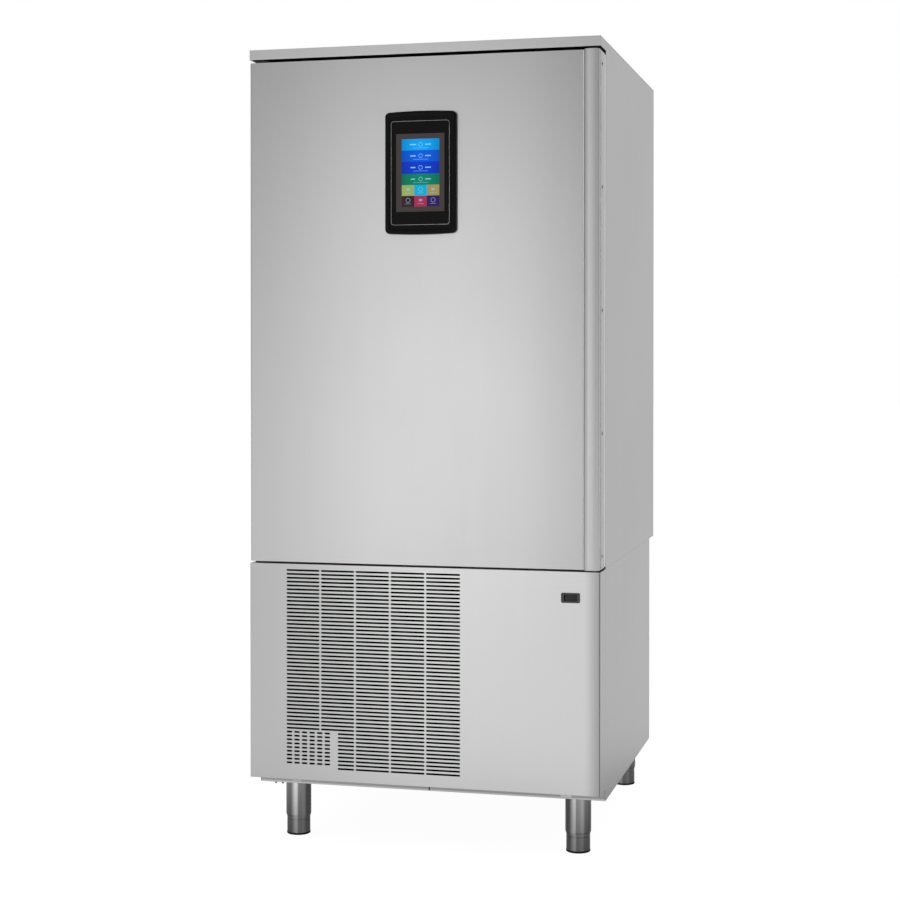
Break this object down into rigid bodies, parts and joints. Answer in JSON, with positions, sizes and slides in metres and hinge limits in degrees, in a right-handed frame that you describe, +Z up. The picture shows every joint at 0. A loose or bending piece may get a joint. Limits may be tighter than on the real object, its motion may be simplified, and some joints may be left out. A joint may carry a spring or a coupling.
{
  "type": "blast chiller",
  "caption": "Upright stainless blast chiller: one full-height door with an edge grip and a touch screen, over a slotted machine compartment on adjustable legs.",
  "frame": {"origin": "on the floor, under the middle of the overall width and depth", "axes": "+X to the right seen from the front, +Y to the back, +Z up; the door faces -Y"},
  "size_m": [0.79, 0.841, 1.772],
  "materials": {
    "brushed_stainless": "brushed stainless steel, soft vertical grain",
    "liner_stainless": "bright stainless steel",
    "leg_stainless": "turned and polished stainless steel",
    "foam": "rigid insulation foam, cut",
    "black_rubber": "soft black rubber",
    "black_plastic": "satin moulded black plastic",
    "black_paint": "satin black paint",
    "motor_paint": "dark grey paint",
    "fan_plastic": "moulded black plastic",
    "fin_aluminium": "bright rolled aluminium",
    "copper_tube": "drawn copper tube, slightly dulled",
    "screen_glass": "smooth cover glass over a lit display",
    "circuit_board": "lacquered circuit board"
  },
  "bodies": {
    "cabinet": {"top_cap": "brushed_stainless", "side_panel_left": "brushed_stainless", "side_panel_right": "brushed_stainless", "back_panel": "brushed_stainless", "cabinet_underside": "brushed_stainless", "insulation_foam": "foam", "liner_left": "liner_stainless", "liner_right": "liner_stainless", "liner_back": "liner_stainless", "liner_top": "liner_stainless", "liner_floor": "liner_stainless", "front_frame": "liner_stainless", "upper_hinge_bracket": "liner_stainless", "lower_hinge_bracket": "liner_stainless", "evaporator_coil": "fin_aluminium", "fan_panel": "liner_stainless", "fan_guards": "liner_stainless", "fan_motors": "motor_paint", "rack_posts": "liner_stainless", "pan_slides_left": "liner_stainless", "pan_slides_right": "liner_stainless", "chamber_drain": "liner_stainless", "base_side_left": "brushed_stainless", "base_side_right": "brushed_stainless", "base_back_panel": "brushed_stainless", "base_tray": "brushed_stainless", "base_rails": "brushed_stainless", "front_cover": "brushed_stainless", "cover_screws": "liner_stainless", "leg_tubes": "leg_stainless", "compressor": "black_paint", "compressor_mounts": "black_rubber", "condenser_coil": "fin_aluminium", "fan_shroud": "brushed_stainless", "condenser_fan_motor": "motor_paint", "liquid_receiver": "black_paint", "filter_drier": "black_paint", "refrigerant_lines": "copper_tube", "electrical_box": "brushed_stainless", "cable_gland": "black_plastic", "switch_frame": "black_plastic"},
    "door": {"door_skin": "brushed_stainless", "door_foam": "foam", "door_inner_panel": "liner_stainless", "door_gasket": "black_rubber", "handle_profile": "brushed_stainless", "handle_end_caps": "brushed_stainless", "handle_screws": "liner_stainless", "hinge_bushes": "black_plastic", "display_housing": "black_plastic", "display_board": "circuit_board", "display_screen": "screen_glass"},
    "upper_fan": {"upper_fan_rotor": "fan_plastic"},
    "lower_fan": {"lower_fan_rotor": "fan_plastic"},
    "condenser_fan": {"condenser_fan_rotor": "fan_plastic"},
    "rocker": {"mains_rocker": "black_plastic"},
    "front_left_foot": {"foot_front_left": "leg_stainless"},
    "front_right_foot": {"foot_front_right": "leg_stainless"},
    "rear_left_foot": {"foot_rear_left": "leg_stainless"},
    "rear_right_foot": {"foot_rear_right": "leg_stainless"}
  },
  "joints": [
    {"name": "door_hinge", "type": "hinge", "parent": "cabinet", "child": "door", "pos_m": [-0.371, -0.3765, 1.189], "axis": [0, 0, -1], "range_deg": [0, 110]},
    {"name": "upper_fan_spin", "type": "hinge", "parent": "cabinet", "child": "upper_fan", "pos_m": [0, 0.1785, 1.402], "axis": [0, 1, 0], "continuous": true},
    {"name": "lower_fan_spin", "type": "hinge", "parent": "cabinet", "child": "lower_fan", "pos_m": [0, 0.1785, 1.002], "axis": [0, 1, 0], "continuous": true},
    {"name": "condenser_fan_spin", "type": "hinge", "parent": "cabinet", "child": "condenser_fan", "pos_m": [-0.1, -0.1595, 0.3482], "axis": [0, 1, 0], "continuous": true},
    {"name": "mains_switch", "type": "hinge", "parent": "cabinet", "child": "rocker", "pos_m": [0.3305, -0.4005, 0.5745], "axis": [0, 0, -1], "range_deg": [0, 16]},
    {"name": "front_left_foot_screw", "type": "slide", "parent": "cabinet", "child": "front_left_foot", "axis": [0, 0, -1], "range_m": [-0.018, 0.034]},
    {"name": "front_right_foot_screw", "type": "slide", "parent": "cabinet", "child": "front_right_foot", "axis": [0, 0, -1], "range_m": [-0.018, 0.034]},
    {"name": "rear_left_foot_screw", "type": "slide", "parent": "cabinet", "child": "rear_left_foot", "axis": [0, 0, -1], "range_m": [-0.018, 0.034]},
    {"name": "rear_right_foot_screw", "type": "slide", "parent": "cabinet", "child": "rear_right_foot", "axis": [0, 0, -1], "range_m": [-0.018, 0.034]}
  ]
}
